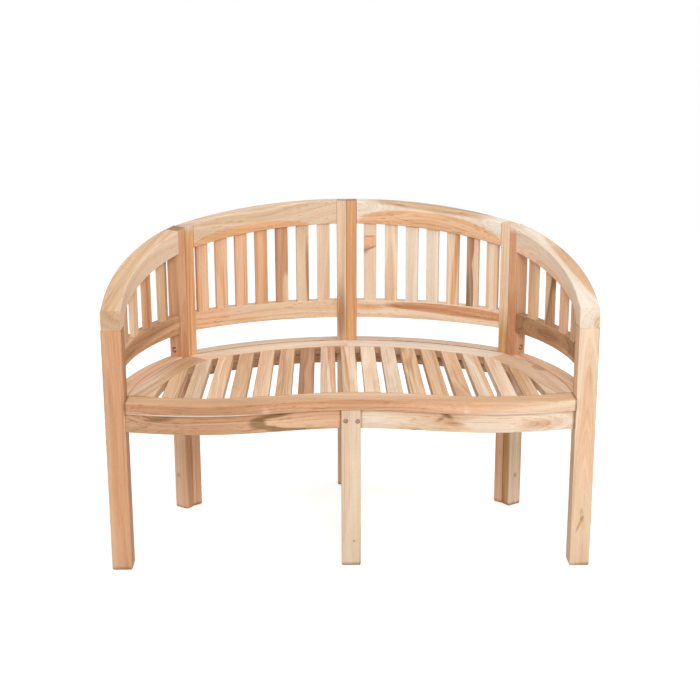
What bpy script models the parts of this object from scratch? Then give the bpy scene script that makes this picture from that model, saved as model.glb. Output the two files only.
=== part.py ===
# Curved garden bench in solid teak, in metres with +Z up.
#
# The seat and the back bend round the sitter like a horseshoe. Four panels make the back:
# two in the middle and one at each end, whose top rails run down to the front legs as arms.
# Each panel stands between two stiles, and where panels meet, their stiles are mitred
# together and reach the floor as the rear legs.
#
# While it is modelled, y is zero at the front face of the corner legs and grows towards the
# back. An empty at the end carries every board, so that the origin is under the middle.

import math

import bmesh
import bpy
from mathutils import Matrix, Vector

# Overall sizes
BENCH_WIDTH = 1.200
BACK_HEIGHT = 0.843
SEAT_HEIGHT = 0.442

# Plan of the inner line, which the faces of the stiles and rails follow: how far back it
# reaches, and how far each panel's arc bows between its ends
BACK_REACH = 0.590
MIDDLE_BOW = 0.1601
END_BOW = 0.1132

# Corner legs and centre leg
LEG_SIZE = 0.050
ARM_BLOCK_HEIGHT = 0.050
CENTRE_LEG_WIDTH = 0.048
CENTRE_LEG_PROUD = 0.006
LEG_ROUND = 0.002
FOOT_CHAMFER = 0.005

# Stiles, which are the rear legs
STILE_WIDTH = 0.028
STILE_DEPTH = 0.042
STILE_ROUND = 0.0015

# Top rails
CREST_THICKNESS = 0.048
CREST_SETBACK = 0.0005
CREST_HEIGHT = 0.064
ARM_THINNEST = 0.047
ARM_HAUNCH = 0.055
CREST_ROUND = 0.004
CREST_UNDER_ROUND_SHARE = 0.5

# Lower rails of the back
SEAT_TO_LOWER_RAIL = 0.066
LOWER_RAIL_TO_ARM = 0.060
LOWER_RAIL_HEIGHT = 0.050
LOWER_RAIL_THICKNESS = 0.030
LOWER_RAIL_SETBACK = 0.0055
RAIL_ROUND = 0.0025

# Upright slats of the back
BACK_SLAT_WIDTH = 0.035
BACK_SLAT_THICKNESS = 0.012
BACK_SLAT_SETBACK = 0.008
BACK_SLAT_MARGIN = 0.0194
BACK_SLAT_OUTER_MARGIN = 0.0125
BACK_SLATS = 7
END_SLAT_WIDTH = 0.034
END_SLATS = 4
SLAT_HOUSING = 0.012
BACK_SLAT_ROUND = 0.0012

# Nosing, the shaped board along the front of the seat
NOSING_WIDTH = 0.065
NOSING_THICKNESS = 0.030
NOSING_OVERHANG = 0.0145
NOSING_WAVE = 0.0235
NOSING_BULGE_INSET = 0.195
NOSING_ROUND = 0.005

# Seat border, whose four boards follow the inner line
BORDER_WIDTH = 0.068
BORDER_THICKNESS = 0.020
BORDER_ROUND = 0.002

# Seat slats, which lie side by side from front to back
SEAT_SLAT_WIDTH = 0.0395
SEAT_SLAT_THICKNESS = 0.020
SEAT_SLAT_DROP = 0.001
SEAT_SLATS = 17
SEAT_SLAT_ROUND = 0.002
TONGUE_LENGTH = 0.010
TONGUE_THICKNESS = 0.008
TONGUE_SHOULDER = 0.005

# Aprons under the edge of the seat
FRONT_APRON_HEIGHT = 0.049
FRONT_APRON_THICKNESS = 0.025
FRONT_APRON_SETBACK = 0.012
APRON_HEIGHT = 0.068
APRON_THICKNESS = 0.040
APRON_RISE = 0.002

# Bearer from the centre leg to the middle stiles, hidden under the middle slat
BEARER_WIDTH = 0.030
BEARER_HEIGHT = 0.040

# Tenons
TENON_LENGTH = 0.016
TENON_ROOT = 0.006
TENON_THICKNESS = 0.012
TENON_SHOULDER = 0.012
NOSING_TENON_LENGTH = 0.012
NOSING_TENON_WIDTH = 0.022
POST_TENON_WIDTH = 0.025
POST_TENON_HEIGHT = 0.025

# Clearances
FIT = 0.0003
SLAT_END_GAP = 0.0006

# Slices that draw the curves
RAIL_SLICES = 14
HAUNCH_SLICES = 4
NOSING_SLICES = 44
FRONT_APRON_SLICES = 18
SLAT_END_SLICES = 4

# Softened edges have this many segments, and edges that turn less than this are shaded smooth
BEVEL_SEGMENTS = 2
SHARP_DEGREES = 30

# How far a corner of a blank lies from its middle, as a share of the blank
HALF_SHARE = 0.5

# Teak tones seen on the boards
TONES = {
    "pale": "E6C9A2",
    "honey": "DDB184",
    "peach": "E2B68F",
    "pink": "D8AC8A",
    "tan": "CFA071",
    "orange": "D09A66",
    "brown": "B98558",
}
TEAK_ROUGHNESS = 0.62

# Formula that turns a written colour to a linear one
HEX_TOP = 255
SRGB_OFFSET = 0.055
SRGB_POWER = 2.4

# Collections
bench = bpy.data.collections.new("curved_garden_bench")
cutters = bpy.data.collections.new("cutters")


class Arc:
    """One stretch of the inner line in plan, drawn from the middle of the back to a front leg."""

    def __init__(self, centre, radius, start, end, run):
        self.centre = centre
        self.radius = radius
        self.start = start
        self.end = end
        self.run = run

    def length(self):
        return (self.start - self.end) * self.radius

    def run_at(self, heading):
        """Length along the inner line from the middle of the back."""
        return self.run + (self.start - heading) * self.radius

    def heading_at(self, run):
        return self.start - (run - self.run) / self.radius

    def point(self, heading, offset=0.0):
        """Plan point on the line moved outwards by offset; past the leg's rear face it runs straight."""
        reach = self.radius + offset
        if heading < 0.0:
            return Vector((self.centre.x + reach, self.centre.y + heading * self.radius))
        return self.centre + reach * Vector((math.cos(heading), math.sin(heading)))

    def after_start(self, distance, offset):
        """Heading at a distance from the plane that is square to the line at its start."""
        return self.start - math.asin(distance / (self.radius + offset))

    def before_end(self, distance, offset):
        return self.end + math.asin(distance / (self.radius + offset))

    def heading_at_depth(self, depth, offset):
        """Heading where the moved line reaches a given y near the front leg."""
        past = depth - self.centre.y
        if past < 0.0:
            return past / self.radius
        return math.asin(past / (self.radius + offset))

    def depth_at(self, x, offset):
        """The y of the moved line at a given x."""
        reach = self.radius + offset
        return self.centre.y + math.sqrt(reach**2 - (abs(x) - self.centre.x) ** 2)


def bow_radius(reach, bow):
    """Radius of an arc that runs straight on at one end and bows aside over a reach to its other end."""
    return (reach**2 + bow**2) / (2 * bow)


# The two arcs of the right-hand half, which meet at the corner between the panels
leg_inner = BENCH_WIDTH / 2 - LEG_SIZE
corner = Vector((leg_inner - END_BOW, BACK_REACH - MIDDLE_BOW))
middle_radius = bow_radius(corner.x, MIDDLE_BOW)
end_radius = bow_radius(corner.y - LEG_SIZE, END_BOW)
middle_end = math.pi / 2 - math.asin(corner.x / middle_radius)
end_start = math.asin((corner.y - LEG_SIZE) / end_radius)
middle = Arc(Vector((0.0, BACK_REACH - middle_radius)), middle_radius, math.pi / 2, middle_end, 0.0)
end = Arc(Vector((leg_inner - end_radius, LEG_SIZE)), end_radius, end_start, 0.0, middle.length())
mitre = (middle.end - end.start) / 2
mitre_line = Vector((math.cos(middle.end - mitre), math.sin(middle.end - mitre)))

# Heights of the back, from the seat up
lower_rail_low = SEAT_HEIGHT + SEAT_TO_LOWER_RAIL
lower_rail_top = lower_rail_low + LOWER_RAIL_HEIGHT
leg_top = lower_rail_top + LOWER_RAIL_TO_ARM
arm_height = leg_top + ARM_BLOCK_HEIGHT

# The top rails fall as the square of the run from the middle
arm_rear_run = end.run + end.length()
arm_front_run = arm_rear_run + LEG_SIZE
crest_fall = (BACK_HEIGHT - arm_height) / arm_front_run**2

# The deepest bulges of the nosing, and the gap that spaces the seat slats evenly
nosing_bulge_at = leg_inner - NOSING_BULGE_INSET
seat_opening = 2 * (leg_inner - BORDER_WIDTH)
seat_slat_gap = (seat_opening - SEAT_SLATS * SEAT_SLAT_WIDTH) / (SEAT_SLATS + 1)


def crest_top(run):
    return BACK_HEIGHT - crest_fall * run**2


def crest_slope(run):
    return -2 * crest_fall * run


def crest_under(run):
    """Underside of the top rail: it thins along the arm and drops on to the leg through a haunch."""
    thinning = min(max((run - end.run) / (arm_rear_run - end.run), 0.0), 1.0)
    under = crest_top(run) - CREST_HEIGHT + (CREST_HEIGHT - ARM_THINNEST) * thinning
    haunch = min(max((run - arm_rear_run + ARM_HAUNCH) / ARM_HAUNCH, 0.0), 1.0)
    return under + (leg_top + FIT - under) * haunch**3


def nosing_front(x):
    return -NOSING_OVERHANG + NOSING_WAVE * math.cos(math.pi * x / nosing_bulge_at)


def nosing_rear(x):
    return nosing_front(x) + NOSING_WIDTH


def apron_front(x):
    return nosing_front(x) + FRONT_APRON_SETBACK


def mitre_point(arc, offset):
    """Where the arc moved outwards by offset crosses the mitre plane through the corner."""
    across = arc.radius * math.cos(mitre)
    along = math.sqrt(across**2 + 2 * arc.radius * offset + offset**2) - across
    return corner + along * mitre_line


def mitre_heading(arc, offset):
    """Heading of that crossing, held back by half the fit."""
    crossing = mitre_point(arc, offset) - arc.centre
    held_back = FIT / (2 * arc.radius)
    return math.atan2(crossing.y, crossing.x) + (held_back if arc is middle else -held_back)


def border_edge(x, offset):
    """The y at which the line moved by offset runs at x, on whichever arc that is."""
    arc = middle if abs(x) < mitre_point(middle, offset).x else end
    return arc.depth_at(x, offset)


def level(height):
    return lambda run: height


# Blanks: a cube sliced along its length, whose corners are moved to the board's true shape


def blank(slices, place, soften=None):
    """One blank; place(station, far, up) gives each corner, soften(a, b) each edge's bevel weight."""
    bm = bmesh.new()
    weights = bm.edges.layers.float.new("bevel_weight_edge")
    bmesh.ops.create_cube(bm, size=1.0)
    lengthwise = [edge for edge in bm.edges if abs(edge.verts[0].co.x - edge.verts[1].co.x) > HALF_SHARE]
    if slices > 1:
        bmesh.ops.subdivide_edges(bm, edges=lengthwise, cuts=slices - 1, use_grid_fill=True)
    keys = {}
    for vert in bm.verts:
        station = round((vert.co.x + HALF_SHARE) * slices)
        keys[vert] = (station, vert.co.y > 0.0, vert.co.z > 0.0)
    if soften:
        for edge in bm.edges:
            edge[weights] = soften(*(keys[vert] for vert in edge.verts))
    for vert, key in keys.items():
        vert.co = place(*key)
    if turned_over(slices, place):
        bmesh.ops.reverse_faces(bm, faces=bm.faces)
    return bm


def turned_over(slices, place):
    """Whether place mirrors the blank, which would leave it inside out."""
    first = place(0, False, False)
    along = place(slices, False, False) - first
    across = place(0, True, False) - first
    up = place(0, False, True) - first
    return along.cross(across).dot(up) < 0.0


def mesh_of(name, *blanks):
    """One mesh of several blanks that don't touch."""
    mesh = bpy.data.meshes.new(name)
    whole = bmesh.new()
    for piece in blanks:
        piece.normal_update()
        piece.to_mesh(mesh)
        piece.free()
        whole.from_mesh(mesh)
    whole.to_mesh(mesh)
    whole.free()
    mesh.shade_smooth()
    mesh.set_sharp_from_angle(angle=math.radians(SHARP_DEGREES))
    return mesh


def teak(name, tone):
    """Material of one board: sanded teak, unoiled, in the tone that its own timber has."""
    material = bpy.data.materials.new("teak_" + name)
    material.use_nodes = True
    shader = material.node_tree.nodes["Principled BSDF"]
    channels = [channel / HEX_TOP for channel in bytes.fromhex(TONES[tone])]
    linear = [((channel + SRGB_OFFSET) / (1 + SRGB_OFFSET)) ** SRGB_POWER for channel in channels]
    shader.inputs["Base Color"].default_value = (*linear, 1.0)
    shader.inputs["Roughness"].default_value = TEAK_ROUGHNESS
    shader.inputs["Metallic"].default_value = 0.0
    return material


def board(name, tone, slices, place, soften, radius):
    """One board of the bench, with its softened edges."""
    item = bpy.data.objects.new(name, mesh_of(name, blank(slices, place, soften)))
    item.data.materials.append(teak(name, tone))
    bench.objects.link(item)
    bevel = item.modifiers.new("softened_edges", "BEVEL")
    bevel.limit_method = "WEIGHT"
    bevel.width = radius
    bevel.segments = BEVEL_SEGMENTS
    return item


# Joints: what one board pushes into others


joints = []


def joint(owner, receivers, slices, shape, fused=True):
    """shape(grow) gives the place function of a tenon, or of its mortise when grown by the fit."""
    joints.append((owner, receivers, slices, shape, fused))


def tool(name, shapes):
    item = bpy.data.objects.new(name, mesh_of(name, *(blank(n, place) for n, place in shapes)))
    item.display_type = "WIRE"
    item.hide_render = True
    cutters.objects.link(item)
    return item


def cut_joints():
    """Adds every tenon to its owner, then cuts the mortises."""
    for item in list(bench.objects):
        tenons = [(n, shape(0.0)) for owner, _, n, shape, fused in joints if owner == item.name and fused]
        mortises = [(n, shape(FIT)) for _, receivers, n, shape, _ in joints if item.name in receivers]
        for kind, shapes, operation in (("tenons", tenons, "UNION"), ("mortises", mortises, "DIFFERENCE")):
            if not shapes:
                continue
            boolean = item.modifiers.new(kind, "BOOLEAN")
            boolean.operation = operation
            boolean.object = tool(f"{item.name}_{kind}", shapes)


def mirrored(side, place):
    """The same corner on the left or the right half."""

    def mirror(*key):
        spot = place(*key)
        return Vector((side * spot.x, spot.y, spot.z))

    return mirror


def box_shape(side, frame, size, middle_at):
    """A box tenon of a given size, whose middle is given in the joint's own frame."""

    def shape(grow):
        def place(station, far, high):
            reach = [length / 2 + grow for length in size]
            signs = [1 if high_end else -1 for high_end in (station, far, high)]
            local = [m + sign * r for m, sign, r in zip(middle_at, signs, reach)]
            return frame @ Vector(local)

        return mirrored(side, place)

    return shape


def joint_frame(spot, toward):
    """Frame at a joint: x into the receiving board, z up."""
    aside = Vector((-toward.y, toward.x))
    return Matrix(
        (
            (toward.x, aside.x, 0.0, spot.x),
            (toward.y, aside.y, 0.0, spot.y),
            (0.0, 0.0, 1.0, 0.0),
            (0.0, 0.0, 0.0, 1.0),
        )
    )


def tenon(side, owner, receivers, spot, toward, low, high, thickness=TENON_THICKNESS):
    """An upright tenon from a shoulder at spot, with the named shoulders above and below."""
    size = (TENON_LENGTH + TENON_ROOT, thickness, high - low - 2 * TENON_SHOULDER)
    middle_at = ((TENON_LENGTH - TENON_ROOT) / 2, 0.0, (low + high) / 2)
    joint(owner, receivers, 1, box_shape(side, joint_frame(spot, toward), size, middle_at))


def along_length(radius_share):
    """Softens the edges that run from station to station, the lower ones less."""

    def soften(a, b):
        if a[0] == b[0]:
            return 0.0
        return 1.0 if a[2] else radius_share

    return soften


def foot_and_arrises(arris_round):
    """Chamfers the foot and softens the upright arrises."""

    def soften(a, b):
        if a[0] != b[0]:
            return arris_round / FOOT_CHAMFER
        return 0.0 if a[0] else 1.0

    return soften


# Curved boards


def swept_board(
    name, tone, side, arc, inner, outer, low, high, start, finish, round_by, share=1.0, headings=None
):
    """A board that follows an arc between two offsets; its ends follow start and finish."""
    headings = headings or even_headings(start(0.0), finish(0.0), RAIL_SLICES)
    last = len(headings) - 1

    def place(station, far, up):
        offset = outer if far else inner
        if station == 0:
            heading = start(offset)
        elif station == last:
            heading = finish(offset)
        else:
            heading = headings[station]
        spot = arc.point(heading, offset)
        height = high if up else low
        return Vector((spot.x, spot.y, height(arc.run_at(heading))))

    return board(name, tone, last, mirrored(side, place), along_length(share), round_by)


def even_headings(first, last, slices):
    return [first + (last - first) * step / slices for step in range(slices + 1)]


def stile_to_stile(arc):
    """The two end rules of a rail that stands between the stiles of one middle panel."""
    shoulder = STILE_WIDTH + FIT
    return (lambda offset: arc.after_start(shoulder, offset), lambda offset: arc.before_end(shoulder, offset))


def stile_to_leg(arc):
    """The two end rules of a rail between the end stile and the corner leg."""
    return (
        lambda offset: arc.after_start(STILE_WIDTH + FIT, offset),
        lambda offset: arc.before_end(FIT, offset),
    )


def normal_at(heading):
    return Vector((math.cos(heading), math.sin(heading)))


def tangent_at(heading):
    """Direction towards the front leg."""
    return Vector((math.sin(heading), -math.cos(heading)))


def rail_tenons(side, owner, arc, posts, offset, low, high):
    """Tenons of a rail at both ends of its panel: into a stile at the start, a stile or leg at the end."""
    start_stile, end_post = posts
    start_face = STILE_WIDTH
    end_face = STILE_WIDTH if arc is middle else 0.0
    start_toward = -tangent_at(arc.start)
    end_toward = tangent_at(arc.end)
    start_spot = arc.point(arc.start, offset) - start_face * start_toward
    end_spot = arc.point(arc.end, offset) - end_face * end_toward
    start_run = arc.run + start_face
    end_run = arc.run + arc.length() - end_face
    tenon(side, owner, (start_stile,), start_spot, start_toward, low(start_run), high(start_run))
    tenon(side, owner, (end_post,), end_spot, end_toward, low(end_run), high(end_run))


# Posts


def corner_leg(side, hand, tone):
    name = f"front_leg_{hand}"

    def place(station, far, up):
        x = leg_inner + (LEG_SIZE if far else 0.0)
        y = LEG_SIZE if up else 0.0
        return Vector((x, y, leg_top if station else 0.0))

    board(name, tone, 1, mirrored(side, place), foot_and_arrises(LEG_ROUND), FOOT_CHAMFER)
    spot = Vector((leg_inner + LEG_SIZE / 2, LEG_SIZE / 2))
    size = (POST_TENON_WIDTH, POST_TENON_WIDTH, POST_TENON_HEIGHT + TENON_ROOT)
    middle_at = (0.0, 0.0, leg_top + (POST_TENON_HEIGHT - TENON_ROOT) / 2)
    frame = joint_frame(spot, Vector((1.0, 0.0)))
    joint(name, (f"arm_rail_{hand}",), 1, box_shape(side, frame, size, middle_at))


def centre_leg(tone):
    half = CENTRE_LEG_WIDTH / 2
    front = apron_front(half) - CENTRE_LEG_PROUD

    def place(station, far, up):
        x = half if far else -half
        y = front + (LEG_SIZE if up else 0.0)
        z = SEAT_HEIGHT - NOSING_THICKNESS - FIT if station else 0.0
        return Vector((x, y, z))

    board("front_leg_centre", tone, 1, place, foot_and_arrises(LEG_ROUND), FOOT_CHAMFER)
    return front + LEG_SIZE


def stile(name, side, tone, arc, at_start):
    """One stile of a mitred pair: square to its own panel, with its mating face on the mitre plane."""
    heading = arc.start if at_start else arc.end
    spot = arc.point(heading)
    sense = -1 if at_start else 1
    toward = sense * tangent_at(heading)
    lean = 0.0 if arc is middle and at_start else math.tan(mitre)
    run = arc.run_at(heading)
    slope = sense * crest_slope(run)

    def place(station, far, up):
        depth = STILE_DEPTH if up else 0.0
        along = depth * lean - FIT / 2 if far else -STILE_WIDTH
        plan = spot + along * toward + depth * normal_at(heading)
        height = crest_top(run) + slope * along if station else 0.0
        return Vector((plan.x, plan.y, height))

    board(name, tone, 1, mirrored(side, place), foot_and_arrises(STILE_ROUND), FOOT_CHAMFER)


# Rails of the back


def panel_posts(arc, hand):
    """Names of the posts at the two ends of a panel."""
    if arc is middle:
        return (f"centre_stile_{hand}", f"outer_stile_{hand}")
    return (f"end_stile_{hand}", f"front_leg_{hand}")


def crest_rail(side, hand, tone):
    """Top rail of a middle panel."""
    start, finish = stile_to_stile(middle)
    name = f"crest_rail_{hand}"
    inner = CREST_SETBACK
    outer = inner + CREST_THICKNESS
    swept_board(
        name, tone, side, middle, inner, outer, crest_under, crest_top,
        start, finish, CREST_ROUND, CREST_UNDER_ROUND_SHARE,
    )
    rail_tenons(side, name, middle, panel_posts(middle, hand), STILE_DEPTH / 2, crest_under, crest_top)


def arm_rail(side, hand, tone):
    """Top rail of an end panel, which runs on over the corner leg as the arm."""
    start, _ = stile_to_leg(end)
    haunch_heading = ARM_HAUNCH / end.radius
    headings = even_headings(start(0.0), haunch_heading, RAIL_SLICES)
    headings += even_headings(haunch_heading, end.end, HAUNCH_SLICES)[1:]
    headings.append(-LEG_SIZE / end.radius)
    name = f"arm_rail_{hand}"
    inner = CREST_SETBACK
    outer = inner + CREST_THICKNESS
    swept_board(
        name, tone, side, end, inner, outer, crest_under, crest_top,
        start, lambda offset: headings[-1], CREST_ROUND, CREST_UNDER_ROUND_SHARE, headings,
    )
    toward = -tangent_at(end.start)
    spot = end.point(end.start, STILE_DEPTH / 2) - STILE_WIDTH * toward
    run = end.run + STILE_WIDTH
    tenon(side, name, (f"end_stile_{hand}",), spot, toward, crest_under(run), crest_top(run))


def level_rail(kind, side, hand, tone, arc, inner, thickness, low, high):
    """A level curved rail between the two posts of a panel."""
    start, finish = stile_to_stile(arc) if arc is middle else stile_to_leg(arc)
    name = f"{kind}_{hand}"
    swept_board(
        name, tone, side, arc, inner, inner + thickness,
        level(low), level(high), start, finish, RAIL_ROUND,
    )
    rail_tenons(side, name, arc, panel_posts(arc, hand), inner + thickness / 2, level(low), level(high))


def slat_shape(side, arc, run, width):
    """An upright slat of the back as a box from the lower rail's housing to the top rail's."""
    heading = arc.heading_at(run)
    low = lower_rail_top - SLAT_HOUSING
    high = crest_under(run) + SLAT_HOUSING
    spot = arc.point(heading, BACK_SLAT_SETBACK + BACK_SLAT_THICKNESS / 2)
    size = (width, BACK_SLAT_THICKNESS, high - low)
    frame = joint_frame(spot, tangent_at(heading))
    return box_shape(side, frame, size, (0.0, 0.0, (low + high) / 2))


def back_slats(side, hand, tones):
    """Slats of a middle panel, counted from the middle of the bench."""
    first = STILE_WIDTH + BACK_SLAT_MARGIN + BACK_SLAT_WIDTH / 2
    last = middle.length() - STILE_WIDTH - BACK_SLAT_OUTER_MARGIN - BACK_SLAT_WIDTH / 2
    for number, tone in enumerate(tones, start=1):
        run = first + (last - first) * (number - 1) / (BACK_SLATS - 1)
        shape = slat_shape(side, middle, run, BACK_SLAT_WIDTH)
        name = f"back_slat_{hand}_{number}"
        board(name, tone, 1, shape(0.0), upright_arrises, BACK_SLAT_ROUND)
        joint(name, (f"crest_rail_{hand}", f"back_lower_rail_{hand}"), 1, shape, fused=False)


def upright_arrises(a, b):
    """Softens the four upright edges of a slat."""
    return 1.0 if a[2] != b[2] else 0.0


def end_slats(side, hand):
    """Slats of an end panel, glued into the lower rail that carries them, in housings of the arm."""
    opening = end.length() - STILE_WIDTH
    gap = (opening - END_SLATS * END_SLAT_WIDTH) / (END_SLATS + 1)
    for number in range(END_SLATS):
        run = end.run + STILE_WIDTH + gap + END_SLAT_WIDTH / 2 + number * (END_SLAT_WIDTH + gap)
        shape = slat_shape(side, end, run, END_SLAT_WIDTH)
        joint(f"end_lower_rail_{hand}", (f"arm_rail_{hand}",), 1, shape)


# Seat


def nosing(tone):
    """Shaped front board of the seat, tenoned to the corner legs."""
    reach = leg_inner - FIT

    def place(station, far, up):
        x = -reach + 2 * reach * station / NOSING_SLICES
        y = nosing_rear(x) if far else nosing_front(x)
        return Vector((x, y, SEAT_HEIGHT if up else SEAT_HEIGHT - NOSING_THICKNESS))

    board("seat_nosing", tone, NOSING_SLICES, place, along_length(1.0), NOSING_ROUND)
    size = (NOSING_TENON_LENGTH + TENON_ROOT, NOSING_TENON_WIDTH, TENON_THICKNESS)
    middle_at = ((NOSING_TENON_LENGTH - TENON_ROOT) / 2, 0.0, SEAT_HEIGHT - NOSING_THICKNESS / 2)
    frame = joint_frame(Vector((leg_inner, LEG_SIZE / 2)), Vector((1.0, 0.0)))
    for side, hand in SIDES:
        joint("seat_nosing", (f"front_leg_{hand}",), 1, box_shape(side, frame, size, middle_at))


def front_apron(side, hand, tone):
    """Apron under the nosing, between the centre leg and a corner leg."""
    name = f"front_apron_{hand}"
    high = SEAT_HEIGHT - NOSING_THICKNESS - FIT
    low = SEAT_HEIGHT - NOSING_THICKNESS - FRONT_APRON_HEIGHT
    first = CENTRE_LEG_WIDTH / 2 + FIT
    last = leg_inner - FIT

    def place(station, far, up):
        x = first + (last - first) * station / FRONT_APRON_SLICES
        y = apron_front(x) + (FRONT_APRON_THICKNESS if far else 0.0)
        return Vector((x, y, high if up else low))

    board(name, tone, FRONT_APRON_SLICES, mirrored(side, place), along_length(1.0), RAIL_ROUND)
    for x, toward, receiver in (
        (leg_inner, 1.0, f"front_leg_{hand}"),
        (CENTRE_LEG_WIDTH / 2, -1.0, "front_leg_centre"),
    ):
        spot = Vector((x, apron_front(x) + FRONT_APRON_THICKNESS / 2))
        tenon(side, name, (receiver,), spot, Vector((toward, 0.0)), low, high)


def bearer(tone, leg_back):
    """Straight bearer under the middle slat, tenoned to the centre leg and to both middle stiles."""
    high = SEAT_HEIGHT - SEAT_SLAT_DROP - SEAT_SLAT_THICKNESS - FIT
    low = high - BEARER_HEIGHT

    def place(station, far, up):
        x = BEARER_WIDTH / 2 if far else -BEARER_WIDTH / 2
        y = BACK_REACH - FIT if station else leg_back + FIT
        return Vector((x, y, high if up else low))

    board("centre_bearer", tone, 1, place, along_length(1.0), RAIL_ROUND)
    front = Vector((0.0, leg_back))
    rear = Vector((0.0, BACK_REACH))
    stiles = ("centre_stile_left", "centre_stile_right")
    tenon(1, "centre_bearer", ("front_leg_centre",), front, Vector((0.0, -1.0)), low, high)
    tenon(1, "centre_bearer", stiles, rear, Vector((0.0, 1.0)), low, high)

    # The nosing overhangs the leg, so the bearer's upper corner is notched round it
    under_nosing = nosing_rear(0.0) - leg_back
    size = (2 * under_nosing, 2 * BEARER_WIDTH, NOSING_THICKNESS)
    middle_at = (0.0, 0.0, SEAT_HEIGHT - NOSING_THICKNESS / 2)
    notch = box_shape(1, joint_frame(front, Vector((0.0, 1.0))), size, middle_at)
    joint("seat_nosing", ("centre_bearer",), 1, notch, fused=False)


def seat_border(side, hand, rear_tone, end_tone):
    """The rear and end boards of the seat border, mitred at the corner of the back."""
    inner = -BORDER_WIDTH
    outer = -FIT
    low = level(SEAT_HEIGHT - BORDER_THICKNESS)
    high = level(SEAT_HEIGHT)
    swept_board(
        f"seat_border_rear_{hand}", rear_tone, side, middle, inner, outer, low, high,
        lambda offset: middle.after_start(FIT / 2, offset),
        lambda offset: mitre_heading(middle, offset), BORDER_ROUND,
    )

    def at_nosing(offset):
        return end.heading_at_depth(nosing_rear(leg_inner + offset) + FIT, offset)

    swept_board(
        f"seat_border_end_{hand}", end_tone, side, end, inner, outer, low, high,
        lambda offset: mitre_heading(end, offset), at_nosing, BORDER_ROUND,
    )


def slat_plan(middle_x, half_width, tongue, low, high):
    """A seat slat or its tongue: the ends follow the nosing and the border, moved in by tongue."""

    def shape(grow):
        def place(station, far, up):
            width = half_width + grow
            x = middle_x - width + 2 * width * station / SLAT_END_SLICES
            y = border_edge(x, tongue + grow - BORDER_WIDTH) if far else nosing_rear(x) - tongue - grow
            return Vector((x, y, high + grow if up else low - grow))

        return place

    return shape


def slat_sides(a, b):
    """Softens the two long upper edges of a seat slat."""
    long_edge = a[0] == b[0] and a[2] and b[2]
    return 1.0 if long_edge and a[0] in (0, SLAT_END_SLICES) else 0.0


def border_boards(left, right):
    """Names of the border boards that the tongue between two x values reaches."""
    turn = mitre_point(middle, -BORDER_WIDTH).x
    names = set()
    for x in (left, right):
        hand = "left" if x < 0 else "right"
        names.add(f"seat_border_{'rear' if abs(x) < turn else 'end'}_{hand}")
    return tuple(sorted(names))


def seat_slats(tones):
    """Slats from left to right, with tongues in the nosing and the border."""
    high = SEAT_HEIGHT - SEAT_SLAT_DROP
    low = high - SEAT_SLAT_THICKNESS
    pitch = SEAT_SLAT_WIDTH + seat_slat_gap
    for number, tone in enumerate(tones, start=1):
        x = (number - (SEAT_SLATS + 1) / 2) * pitch
        name = f"seat_slat_{number}"
        plan = slat_plan(x, SEAT_SLAT_WIDTH / 2, -SLAT_END_GAP, low, high)
        board(name, tone, SLAT_END_SLICES, plan(0.0), slat_sides, SEAT_SLAT_ROUND)
        half = SEAT_SLAT_WIDTH / 2 - TONGUE_SHOULDER
        middle_height = (low + high) / 2
        tongue_low = middle_height - TONGUE_THICKNESS / 2
        tongue_high = middle_height + TONGUE_THICKNESS / 2
        tongue = slat_plan(x, half, TONGUE_LENGTH, tongue_low, tongue_high)
        receivers = ("seat_nosing",) + border_boards(x - half - FIT, x + half + FIT)
        joint(name, receivers, SLAT_END_SLICES, tongue)


SIDES = ((-1, "left"), (1, "right"))

# Tones as the photographed bench has them; slats of the back count from the middle outwards
LEG_TONES = {"left": "pink", "right": "peach"}
STILE_TONES = {
    "left": ("pink", "honey", "pink"),
    "right": ("orange", "honey", "peach"),
}
RAIL_TONES = {
    "left": ("peach", "honey", "honey", "pale"),
    "right": ("pale", "pale", "tan", "brown"),
}
BACK_SLAT_TONES = {
    "left": ("pale", "peach", "brown", "tan", "peach", "honey", "pink"),
    "right": ("peach", "honey", "pale", "peach", "orange", "brown", "honey"),
}
BORDER_TONES = {"left": ("peach", "honey"), "right": ("honey", "peach")}
FRONT_APRON_TONES = {"left": "honey", "right": "peach"}
APRON_TONE = "honey"
NOSING_TONE = "honey"
CENTRE_LEG_TONE = "pale"
BEARER_TONE = "tan"
LEFT_SEAT_SLAT_TONES = ("peach", "honey", "pink", "tan", "honey", "peach", "pale", "honey")
SEAT_SLAT_TONES = LEFT_SEAT_SLAT_TONES + ("peach",) + LEFT_SEAT_SLAT_TONES[::-1]


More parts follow.
